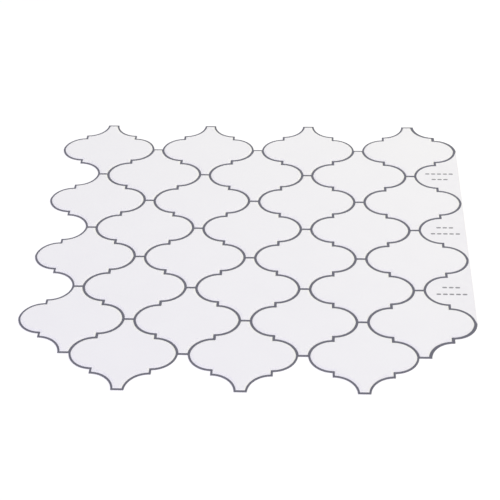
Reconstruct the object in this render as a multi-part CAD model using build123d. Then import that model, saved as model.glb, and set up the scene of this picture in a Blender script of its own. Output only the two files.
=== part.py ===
from build123d import *
from build123d.topology import SkipClean
import os
from math import sqrt

# Self-adhesive mosaic wall tile: a printed vinyl film with an adhesive back, cast resin
# lantern tiles on its face and overlap tabs down its right edge for the next sheet.
# Millimetres. X runs across the columns, Y up the wall and Z out of the wall. The origin is
# the middle of the sheet, on its adhesive back.

# Mosaic layout
COLUMNS = 4             # tiles in a full row; the rows between have one fewer
ROWS = 8                # full and short rows in turn, from a full one at the top
COLUMN_PITCH = 77.8     # one tile to the next in its row
ROW_PITCH = 33.8        # one row to the next, which stands half a column aside

# Lantern outline, taken along the middle of the grout line
NECK_WIDTH = 7.4        # flat tip at the top and bottom of a tile
STEP_HEIGHT = 4.1       # square step between the bulge and the neck
GROUT_WIDTH = 1.6       # printed line between two tiles
EDGE_RIM = 1.25         # printed line outside the tiles where the sheet is cut
TAB_RIM = 2.05          # the same at the right-hand ends of the rows, where the tabs are

# Section
FILM_THICKNESS = 0.4
TILE_THICKNESS = 0.8
TILE_EDGE_RUN = 0.9     # width over which the resin slopes down to its edge

# Bulge and neck are arcs of one radius, level where they meet the step
step_x = COLUMN_PITCH / 4
arc_run = step_x - NECK_WIDTH / 2
arc_rise = (ROW_PITCH - STEP_HEIGHT) / 2
arc_offset = (arc_run**2 - arc_rise**2) / (2 * arc_rise)
arc_radius = arc_rise + arc_offset

tile_inset = GROUT_WIDTH / 2
rim_inset = tile_inset - EDGE_RIM
tab_margin = TAB_RIM - EDGE_RIM
right_edge = (COLUMNS * COLUMN_PITCH - NECK_WIDTH + tab_margin) / 2 - rim_inset
last_full_row = ROWS - (ROWS + 1) % 2


# One lantern about the origin, its edge moved in from the middle of the grout line
def lantern(inset):
    bulge_radius = arc_radius - inset
    neck_radius = arc_radius + inset
    side_x = step_x + sqrt(bulge_radius**2 - arc_offset**2)
    corner_x = step_x - inset
    low_y = sqrt(bulge_radius**2 - inset**2) - arc_offset
    high_y = ROW_PITCH + arc_offset - sqrt(neck_radius**2 - inset**2)
    tip_x = step_x - sqrt(neck_radius**2 - (arc_offset + inset) ** 2)
    tip_y = ROW_PITCH - inset
    with BuildSketch() as sketch:
        with BuildLine():
            RadiusArc((side_x, 0), (corner_x, low_y), -bulge_radius)
            Line((corner_x, low_y), (corner_x, high_y))
            RadiusArc((corner_x, high_y), (tip_x, tip_y), neck_radius)
            Line((tip_x, tip_y), (0, tip_y))
            mirror(about=Plane.YZ)
            mirror(about=Plane.XZ)
        make_face()
    return sketch.sketch


# Tiles in a row, rows counted from 1 at the top
def tiles_in(row):
    return COLUMNS - (row + 1) % 2


# Middle of a tile on the sheet
def middle(row, column):
    x = (column - (tiles_in(row) + 1) / 2) * COLUMN_PITCH - tab_margin / 2
    y = ((ROWS + 1) / 2 - row) * ROW_PITCH
    return Pos(x, y)


# Overlap tabs: the left part of each tile missing at the right end of a short row
strip_left = middle(1, COLUMNS).position.X
strip_top = middle(1, COLUMNS).position.Y
strip_bottom = middle(last_full_row, COLUMNS).position.Y
strip_middle = Pos((strip_left + right_edge) / 2, (strip_top + strip_bottom) / 2)
strip = strip_middle * Rectangle(right_edge - strip_left, strip_top - strip_bottom)
tab_rows = range(2, last_full_row, 2)
tabs = [strip & middle(row, COLUMNS) * lantern(tile_inset) for row in tab_rows]

# Backing film: every tile with its rim, and the strip of tabs, cut out as one sheet
cells = [(row, column) for row in range(1, ROWS + 1) for column in range(1, tiles_in(row) + 1)]
rims = [middle(*cell) * lantern(rim_inset) for cell in cells]
end_rims = [Pos(tab_margin, 0) * middle(row, COLUMNS) * lantern(rim_inset) for row in (1, last_full_row)]
outline = Sketch() + rims + end_rims + strip
grout_side = extrude(outline - tabs, FILM_THICKNESS)
tab_side = [extrude(tab, FILM_THICKNESS) for tab in tabs]
with SkipClean():   # so that each bare tab keeps a face of its own
    film = grout_side + tab_side

# Resin tile, sloping in from its foot to its top
foot = Pos(0, 0, FILM_THICKNESS) * lantern(tile_inset)
crown = Pos(0, 0, FILM_THICKNESS + TILE_THICKNESS) * lantern(tile_inset + TILE_EDGE_RUN)
tile = loft([foot.face(), crown.face()], ruled=True)

os.makedirs("parts", exist_ok=True)
export_step(film, "parts/backing_film.step")
for row in range(1, ROWS + 1):
    tiles = [middle(row, column) * tile for column in range(1, tiles_in(row) + 1)]
    export_step(Compound(tiles), f"parts/tile_row_{row}.step")
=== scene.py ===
from math import acos, asin, cos, pi, radians, sin

import bmesh
import bpy
from mathutils import Matrix, Vector


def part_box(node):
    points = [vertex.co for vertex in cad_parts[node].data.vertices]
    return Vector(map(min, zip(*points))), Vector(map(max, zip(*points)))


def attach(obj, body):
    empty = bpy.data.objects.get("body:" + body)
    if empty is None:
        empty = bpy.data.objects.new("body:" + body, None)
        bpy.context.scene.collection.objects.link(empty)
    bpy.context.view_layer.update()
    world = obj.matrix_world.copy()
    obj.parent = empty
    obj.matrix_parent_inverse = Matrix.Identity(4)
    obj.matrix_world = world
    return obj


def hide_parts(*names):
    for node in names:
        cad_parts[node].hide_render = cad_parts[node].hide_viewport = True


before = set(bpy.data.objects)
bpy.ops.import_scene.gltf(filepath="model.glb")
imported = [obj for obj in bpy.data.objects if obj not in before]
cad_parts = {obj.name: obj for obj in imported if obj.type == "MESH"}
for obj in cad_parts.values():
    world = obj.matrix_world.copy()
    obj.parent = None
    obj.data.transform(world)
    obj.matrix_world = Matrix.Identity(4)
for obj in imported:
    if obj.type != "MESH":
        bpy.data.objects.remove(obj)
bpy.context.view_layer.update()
mm = 0.001
print("frame loaded, nodes:", len(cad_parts))

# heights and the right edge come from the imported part
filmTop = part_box("backing_film")[1].z
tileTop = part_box("tile_row_1")[1].z
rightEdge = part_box("backing_film")[1].x

sheet = {
    "columns": 4,               # tiles in a full row
    "rows": 8,                  # full and short rows in turn
    "columnPitch": 77.8 * mm,
    "rowPitch": 33.8 * mm,
    "neckWidth": 7.4 * mm,      # flat tip of a lantern
    "stepHeight": 4.1 * mm,     # square step in its shoulder
    "groutWidth": 1.6 * mm,
    "edgeRim": 1.25 * mm,       # grout print left outside the tiles at the cut edge
    "tabRim": 2.05 * mm,        # the same at the right-hand ends of the rows
    "tabBlend": 3,              # points left out at each end of the tabs' line
    "tabPrint": 0.01 * mm,      # thickness of the white print on the tabs
    "arcSteps": 14,
    "filletSteps": 4,
}

stepX = sheet["columnPitch"] / 4
arcRun = stepX - sheet["neckWidth"] / 2
arcRise = (sheet["rowPitch"] - sheet["stepHeight"]) / 2
arcOffset = (arcRun**2 - arcRise**2) / (2 * arcRise)
arcRadius = arcRise + arcOffset
tileInset = sheet["groutWidth"] / 2
rimInset = tileInset - sheet["edgeRim"]
tabMargin = sheet["tabRim"] - sheet["edgeRim"]
tabTop = filmTop + sheet["tabPrint"]


def arc(centre, radius, start, end, steps):
    turns = [start + (end - start) * k / steps for k in range(steps + 1)]
    return [(centre[0] + radius * cos(t), centre[1] + radius * sin(t)) for t in turns]


# upper right quarter of a lantern, from its side to its tip, inset from the middle of the grout line
def lanternQuarter(inset, hollow=0, nose=0, sideY=0, tipY=None):
    bulge = arcRadius - inset
    neck = arcRadius + inset
    neckY = sheet["rowPitch"] + arcOffset
    tipDrop = neckY - (sheet["rowPitch"] - inset if tipY is None else tipY)
    sideTurn = asin((arcOffset + sideY) / bulge)
    lowTurn = acos((hollow - inset) / bulge)
    highTurn = -acos(-(inset + nose) / neck)
    tipTurn = asin(tipDrop / neck) - pi
    steps = sheet["arcSteps"]
    points = arc((stepX, -arcOffset), bulge, sideTurn, lowTurn, steps)
    neckPoints = arc((stepX, neckY), neck, highTurn, tipTurn, steps)
    if hollow:      # rounded inner corner at the foot of the step, then the outer one at its head
        x, y = points[-1]
        points += arc((x, y + hollow), hollow, -pi / 2, -pi, sheet["filletSteps"])[1:]
        x, y = neckPoints[0]
        points += arc((x, y - nose), nose, 0, pi / 2, sheet["filletSteps"])[:-1]
    return points + neckPoints


def mirrored(points, sx, sy):
    return [(x * sx, y * sy) for x, y in points]


def lanternLoop(inset, hollow, nose):
    quarter = lanternQuarter(inset, hollow, nose)
    loop = quarter + mirrored(quarter, -1, 1)[::-1][:-1]
    loop += mirrored(quarter, -1, -1) + mirrored(quarter, 1, -1)[::-1][:-1]
    return loop


def tilesIn(row):
    return sheet["columns"] - (row + 1) % 2


def tileMiddle(row, column):
    x = (column - (tilesIn(row) + 1) / 2) * sheet["columnPitch"] - tabMargin / 2
    y = ((sheet["rows"] + 1) / 2 - row) * sheet["rowPitch"]
    return x, y


# a quarter set round a tile's middle; fromTip runs it the other way
def quarterAt(row, column, sx, sy, fromTip=False, **cut):
    x, y = tileMiddle(row, column)
    if column == sheet["columns"] and sx > 0:
        x += tabMargin
    points = [(x + px, y + py) for px, py in mirrored(lanternQuarter(rimInset, **cut), sx, sy)]
    return points[::-1] if fromTip else points


def ring(bm, points, z):
    return [bm.verts.new((x, y, z)) for x, y in points]


# faces between two rings of as many points
def band(bm, low, high):
    faces = []
    for k in range(len(low)):
        n = (k + 1) % len(low)
        faces.append(bm.faces.new((low[k], low[n], high[n], high[k])))
    return faces


def newMesh(name, bm, materials):
    mesh = bpy.data.meshes.new(name)
    bmesh.ops.recalc_face_normals(bm, faces=bm.faces)
    bm.to_mesh(mesh)
    bm.free()
    for material in materials:
        mesh.materials.append(material)
    return mesh


def newObject(name, data):
    made = bpy.data.objects.new(name, data)
    bpy.context.scene.collection.objects.link(made)
    return made


# wraps a node socket, so that shader maths reads as a sum
class Wire:
    def __init__(self, tree, socket=None):
        self.tree = tree
        self.socket = socket

    def node(self, kind, settings=None, inputs=None, output=0):
        made = self.tree.nodes.new("ShaderNode" + kind)
        for name, value in (settings or {}).items():
            setattr(made, name, value)
        for name, value in (inputs or {}).items():
            if isinstance(value, Wire):
                self.tree.links.new(value.socket, made.inputs[name])
            else:
                made.inputs[name].default_value = value
        return Wire(self.tree, made.outputs[output] if made.outputs else None)

    def maths(self, operation, a, b):
        return self.node("Math", {"operation": operation}, {0: a, 1: b})

    def mix(self, factor, a, b):
        return self.node("Mix", {"data_type": "RGBA"}, {0: factor, 6: a, 7: b}, 2)

    def ramp(self, low, high):
        inputs = {"Value": self, "From Min": low, "From Max": high}
        return self.node("MapRange", {"interpolation_type": "SMOOTHSTEP"}, inputs)

    def __add__(self, other):
        return self.maths("ADD", self, other)

    def __radd__(self, other):
        return self.maths("ADD", other, self)

    def __sub__(self, other):
        return self.maths("SUBTRACT", self, other)

    def __rsub__(self, other):
        return self.maths("SUBTRACT", other, self)

    def __mul__(self, other):
        return self.maths("MULTIPLY", self, other)

    def __rmul__(self, other):
        return self.maths("MULTIPLY", other, self)


def newMaterial(name):
    material = bpy.data.materials.new(name)
    material.use_nodes = True
    tree = material.node_tree
    tree.nodes.clear()
    return material, Wire(tree)


def rgba(colour):
    return (*colour, 1.0)


def noise(wire, place, size, detail, roughness=0.5):
    inputs = {"Vector": place, "Scale": 1 / size, "Detail": detail, "Roughness": roughness}
    return wire.node("TexNoise", None, inputs)


# a noise, which averages a half, as a value that strays either side of a middle one
def stray(middle, spread, pattern):
    return middle + spread * (pattern - 0.5)


def bump(wire, height, distance, normal=None):
    inputs = {"Height": height, "Distance": distance, "Strength": 1.0}
    if normal:
        inputs["Normal"] = normal
    return wire.node("Bump", None, inputs)


def surface(wire, inputs):
    shader = wire.node("BsdfPrincipled", None, inputs)
    wire.node("OutputMaterial", None, {"Surface": shader})


resin = {
    "colour": (0.868, 0.868, 0.874),
    "clouded": (0.860, 0.859, 0.867),
    "cloudSize": 26 * mm,
    "cloudDetail": 3.0,
    "cloudRange": (0.35, 0.7),
    "edge": (0.955, 0.950, 0.915),  # painted light: the base colour turns lighter low on the resin's rounded edge, to lift the shade there
    "edgeHeight": 0.75 * mm,
    "ior": 1.49,
    "roughness": 0.16,
    "roughSpread": 0.08,
    "smearSize": 15.6 * mm,         # patches a little glossier or duller
    "smearDetail": 5.0,
    "levelSize": 18 * mm,           # slow waves left where the resin levelled out
    "levelDepth": 0.10 * mm,
    "levelDetail": 1.0,
    "peelSize": 1.3 * mm,           # fine ripple on top of them
    "peelDepth": 0.004 * mm,
    "peelDetail": 2.0,
    "coat": 0.35,
    "coatRoughness": 0.06,
}


def whiteResin():
    material, wire = newMaterial("white_resin")
    place = wire.node("NewGeometry", None, None, "Position")
    height = wire.node("SeparateXYZ", None, {0: place}, "Z")
    clouds = noise(wire, place, resin["cloudSize"], resin["cloudDetail"])
    tone = wire.mix(clouds.ramp(*resin["cloudRange"]), rgba(resin["colour"]), rgba(resin["clouded"]))
    # painted light: the mask is one at the film and none from the top of the rounding up, so the base
    # colour is lighter low on the resin's edge
    edge = 1 - height.ramp(filmTop, filmTop + resin["edgeHeight"])
    smears = noise(wire, place, resin["smearSize"], resin["smearDetail"])
    levelling = noise(wire, place, resin["levelSize"], resin["levelDetail"])
    peel = noise(wire, place, resin["peelSize"], resin["peelDetail"])
    waves = bump(wire, levelling, resin["levelDepth"])
    surface(wire, {
        "Base Color": wire.mix(edge, tone, rgba(resin["edge"])),
        "Roughness": stray(resin["roughness"], resin["roughSpread"], smears),
        "Normal": bump(wire, peel, resin["peelDepth"], waves),
        "IOR": resin["ior"],
        "Coat Weight": resin["coat"],
        "Coat Roughness": resin["coatRoughness"],
    })
    return material


vinyl = {
    "toneDetail": 4.0,
    "toneRoughness": 0.6,
    "toneRange": (0.35, 0.65),
    "grainSize": 0.22 * mm,
    "grainDepth": 0.010 * mm,
    "grainDetail": 2.0,
    "roughSpread": 0.12,
}


# a print on grained vinyl, in two tones that mix in flecks or clouds
def printedVinyl(name, look):
    material, wire = newMaterial(name)
    place = wire.node("NewGeometry", None, None, "Position")
    tone = noise(wire, place, look["toneSize"], vinyl["toneDetail"], vinyl["toneRoughness"])
    grain = noise(wire, place, vinyl["grainSize"], vinyl["grainDetail"])
    surface(wire, {
        "Base Color": wire.mix(tone.ramp(*vinyl["toneRange"]), rgba(look["colour"]), rgba(look["shade"])),
        "Roughness": stray(look["roughness"], vinyl["roughSpread"], grain),
        "Normal": bump(wire, grain, vinyl["grainDepth"]),
    })
    return material


# looks of the film's faces, in the order of its material slots
film = {
    "slate_print": {
        "colour": (0.100, 0.102, 0.133),
        "shade": (0.124, 0.126, 0.159),
        "roughness": 0.46,
        "toneSize": 0.35 * mm,
    },
    "tab_print": {
        "colour": (0.858, 0.856, 0.868),
        "shade": (0.836, 0.832, 0.850),
        "roughness": 0.40,
        "toneSize": 9 * mm,
    },
    "film_edge": {
        "colour": (0.22, 0.216, 0.225),
        "shade": (0.28, 0.275, 0.28),
        "roughness": 0.55,
        "toneSize": 0.35 * mm,
    },
    "adhesive_back": {
        "colour": (0.74, 0.72, 0.66),
        "shade": (0.836, 0.832, 0.850),
        "roughness": 0.32,
        "toneSize": 2.5 * mm,
    },
}


# outline of the cut sheet, once round from the top of the first tile, and the point where the tabs start
def sheetOutline():
    last = sheet["rows"]
    full = last - 1
    ends = sheet["columns"]
    rim = -rimInset
    meet = sheet["rowPitch"]
    points = []
    for row in range(1, last, 2):       # down the left side, each tile from where the one above ends
        points[-1:] = quarterAt(row, 1, -1, 1, fromTip=True, tipY=None if row == 1 else meet)
        points += quarterAt(row, 1, -1, -1, tipY=None if row == full else meet)[1:]
    for column in range(1, ends):       # along the bottom
        points += quarterAt(last, column, -1, -1, sideY=rim)
        points += quarterAt(last, column, 1, -1, fromTip=True, sideY=rim)
    points += quarterAt(full, ends, 1, -1, fromTip=True)
    tabStart = len(points) - 1
    points += quarterAt(1, ends, 1, 1)      # straight up past the tabs
    for column in range(ends, 1, -1):       # back along the top
        points += quarterAt(1, column, -1, 1, fromTip=True, sideY=rim)
        points += quarterAt(1, column - 1, 1, 1, sideY=rim)
    return points, tabStart


# left side of the bare tabs, from the lowest up; they run together along the sheet's edge
def tabOutline():
    quarter = lanternQuarter(tileInset, tipY=sheet["rowPitch"])
    side = mirrored(quarter, -1, -1)[::-1] + mirrored(quarter, -1, 1)[1:]
    points = []
    for row in range(sheet["rows"] - 2, 1, -2):
        x, y = tileMiddle(row, sheet["columns"])
        points[-1:] = [(x + px, y + py) for px, py in side]
    ends = sheet["tabBlend"]        # the line widens to the rim at the top and the bottom
    return points[ends:-ends]


def buildFilm():
    outline, tabStart = sheetOutline()
    tabLine = tabOutline()
    slots = {name: k for k, name in enumerate(film)}
    bm = bmesh.new()
    upper = ring(bm, outline, filmTop)
    lower = ring(bm, outline, 0)
    inner = ring(bm, tabLine, filmTop)
    bm.faces.new(lower[::-1]).material_index = slots["adhesive_back"]
    for face in band(bm, lower, upper):
        face.material_index = slots["film_edge"]
    grout = (*upper[:tabStart + 1], *inner, *upper[tabStart + 1:])
    bm.faces.new(grout).material_index = slots["slate_print"]
    foot = (upper[tabStart], *inner, upper[tabStart + 1])       # the tabs' print stands on the film
    head = ring(bm, [outline[tabStart], *tabLine, outline[tabStart + 1]], tabTop)
    for face in (bm.faces.new(head), *band(bm, foot, head)):
        face.material_index = slots["tab_print"]
    prints = [printedVinyl(name, look) for name, look in film.items()]
    made = newObject("printed_film", newMesh("printed_film", bm, prints))
    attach(made, "root")
    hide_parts("backing_film")


dashes = {
    "ink": {
        "colour": (0.23, 0.23, 0.245),
        "shade": (0.30, 0.30, 0.315),
        "roughness": 0.5,
        "toneSize": 0.5 * mm,
    },
    "middle": -14.7 * mm,       # from the sheet's right edge
    "spacing": 7.2 * mm,        # between the two lines of dashes
    "length": 3.3 * mm,
    "gap": 1.1 * mm,
    "width": 1.5 * mm,
    "height": 0.015 * mm,
    "counts": (5, 3),           # long line, short line
    "capSteps": 6,
}


# plain dashes on each tab, printed; the lower tabs carry theirs turned round
def buildDashes():
    ink = printedVinyl("dash_ink", dashes["ink"])
    radius = dashes["width"] / 2
    straight = dashes["length"] / 2 - radius
    pitch = dashes["length"] + dashes["gap"]
    cap = arc((straight, 0), radius, -pi / 2, pi / 2, dashes["capSteps"])
    loop = cap + mirrored(cap, -1, -1)
    for number, row in enumerate(range(2, sheet["rows"], 2), 1):
        turned = 1 if number == 1 else -1
        bm = bmesh.new()
        for line, count in zip((1, -1), dashes["counts"]):
            y = tileMiddle(row, 1)[1] + turned * line * dashes["spacing"] / 2
            for k in range(count):
                x = rightEdge + dashes["middle"] + (k - (count - 1) / 2) * pitch
                points = [(x + px, y + py) for px, py in loop]
                low = ring(bm, points, tabTop)
                high = ring(bm, points, tabTop + dashes["height"])
                bm.faces.new(low[::-1])
                bm.faces.new(high)
                band(bm, low, high)
        name = f"tab_dashes_{number}"
        made = newObject(name, newMesh(name, bm, [ink]))
        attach(made, "root")


tile = {
    "shoulder": 2.2 * mm,       # width over which the resin rounds down to the film
    "rings": 8,
    "cornerRound": 0.35 * mm,
    "leastRound": 0.02 * mm,    # left on the outer corners further in
    "levelRing": 0.3 * mm,      # level band round the top, to end the rounding
}


def tileMesh():
    levels = []
    for k in range(tile["rings"] + 1):
        part = k / tile["rings"]
        levels.append((part * tile["shoulder"], tileTop - (tileTop - filmTop) * (1 - part)**2))
    levels.append((tile["shoulder"] + tile["levelRing"], tileTop))
    bm = bmesh.new()
    rings = []
    for inwards, z in levels:
        hollow = tile["cornerRound"] + inwards
        nose = max(tile["cornerRound"] - inwards, tile["leastRound"])
        rings.append(ring(bm, lanternLoop(tileInset + inwards, hollow, nose), z))
    bm.faces.new(rings[0][::-1])
    for low, high in zip(rings, rings[1:]):
        for face in band(bm, low, high):
            face.smooth = True
    bm.faces.new(rings[-1])
    return newMesh("lantern_tile", bm, [whiteResin()])


def buildTiles():
    shared = tileMesh()
    for row in range(1, sheet["rows"] + 1):
        for column in range(1, tilesIn(row) + 1):
            made = newObject(f"tile_r{row}_c{column}", shared)
            made.location = (*tileMiddle(row, column), 0)
            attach(made, "root")
            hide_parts(f"tile_row_{row}")


buildFilm()
buildDashes()
print("film built")
buildTiles()
print("tiles built")

studio = {
    "backdrop": {"Color": (1, 1, 1, 1), "Strength": 1.0},
    "floorHalf": 15,            # metres
    "floorColour": (0.90, 0.90, 0.90),
    "floorLift": {"Color": (1, 1, 1, 1), "Strength": 0.18},     # added to the floor seen round the sheet
    "floorFade": (0.3, 0.75),   # metres out over which the floor turns plain white
    "skyColour": (0.46, 0.46, 0.53),
    "boxSize": 1.5,
    "boxes": {
        "far_softbox": {"place": (0.5, 0.5, 1.1), "power": 10.7, "colour": (1.0, 0.996, 0.720)},
        "near_softbox": {"place": (-0.6, -1.1, 1.1), "power": 10.9, "colour": (0.789, 0.725, 1.0)},
    },
}


# one for rays that show the background: straight from the camera, mirrored or let through
def shownRay(wire):
    seen = wire.node("LightPath", None, None, "Is Camera Ray")
    glossy = wire.node("LightPath", None, None, "Is Glossy Ray")
    through = wire.node("LightPath", None, None, "Is Transmission Ray")
    return wire.maths("MAXIMUM", seen, wire.maths("MAXIMUM", glossy, through))


def buildFloor():
    material, wire = newMaterial("studio_floor")
    paint = wire.node("BsdfDiffuse", None, {"Color": rgba(studio["floorColour"])})
    lifted = wire.node("AddShader", None, {0: paint, 1: wire.node("Emission", None, studio["floorLift"])})
    white = wire.node("Emission", None, studio["backdrop"])
    place = wire.node("NewGeometry", None, None, "Position")
    away = wire.node("VectorMath", {"operation": "LENGTH"}, {0: place}, "Value")
    seen = wire.node("MixShader", None, {0: away.ramp(*studio["floorFade"]), 1: lifted, 2: white})
    both = wire.node("MixShader", None, {0: shownRay(wire), 1: paint, 2: seen})
    wire.node("OutputMaterial", None, {"Surface": both})
    bm = bmesh.new()
    bmesh.ops.create_grid(bm, x_segments=1, y_segments=1, size=studio["floorHalf"])
    floor = newObject("studio_floor", newMesh("studio_floor", bm, [material]))


def buildLight():
    world = bpy.data.worlds.new("studio_sky")
    bpy.context.scene.world = world
    world.use_nodes = True
    world.node_tree.nodes.clear()
    wire = Wire(world.node_tree)
    sky = wire.node("Background", None, {"Color": rgba(studio["skyColour"])})
    white = wire.node("Background", None, studio["backdrop"])
    both = wire.node("MixShader", None, {0: shownRay(wire), 1: sky, 2: white})
    wire.node("OutputWorld", None, {"Surface": both})
    for name, box in studio["boxes"].items():
        lamp = bpy.data.lights.new(name, "AREA")
        lamp.size = studio["boxSize"]
        lamp.energy = box["power"]
        lamp.color = box["colour"]
        made = newObject(name, lamp)
        made.location = box["place"]
        made.rotation_euler = (-Vector(box["place"])).to_track_quat("-Z", "Y").to_euler()
        made.visible_camera = False
        made.visible_glossy = False


camera = {
    "place": (0.047293, -0.785659, 0.606371),   # from the middle of the film's face
    "azimuth": 3.9078,
    "elevation": 37.8832,
    "roll": -1.7505,
    "lens": 100.413,
    "sensor": 36,
    "shiftX": 0.01423,
    "clipStart": 0.01,
}


def buildCamera():
    data = bpy.data.cameras.new("photo_camera")
    data.sensor_width = camera["sensor"]
    data.lens = camera["lens"]
    data.shift_x = camera["shiftX"]
    data.clip_start = camera["clipStart"]
    made = newObject("photo_camera", data)
    place = Matrix.Translation(Vector(camera["place"]) + Vector((0, 0, filmTop)))
    turn = Matrix.Rotation(radians(camera["azimuth"]), 4, "Z")
    tilt = Matrix.Rotation(radians(90 - camera["elevation"]), 4, "X")
    roll = Matrix.Rotation(radians(camera["roll"]), 4, "Z")
    made.matrix_world = place @ turn @ tilt @ roll
    bpy.context.scene.camera = made


buildFloor()
buildLight()
buildCamera()
print("studio built")

bpy.context.scene.view_settings.view_transform = "Standard"
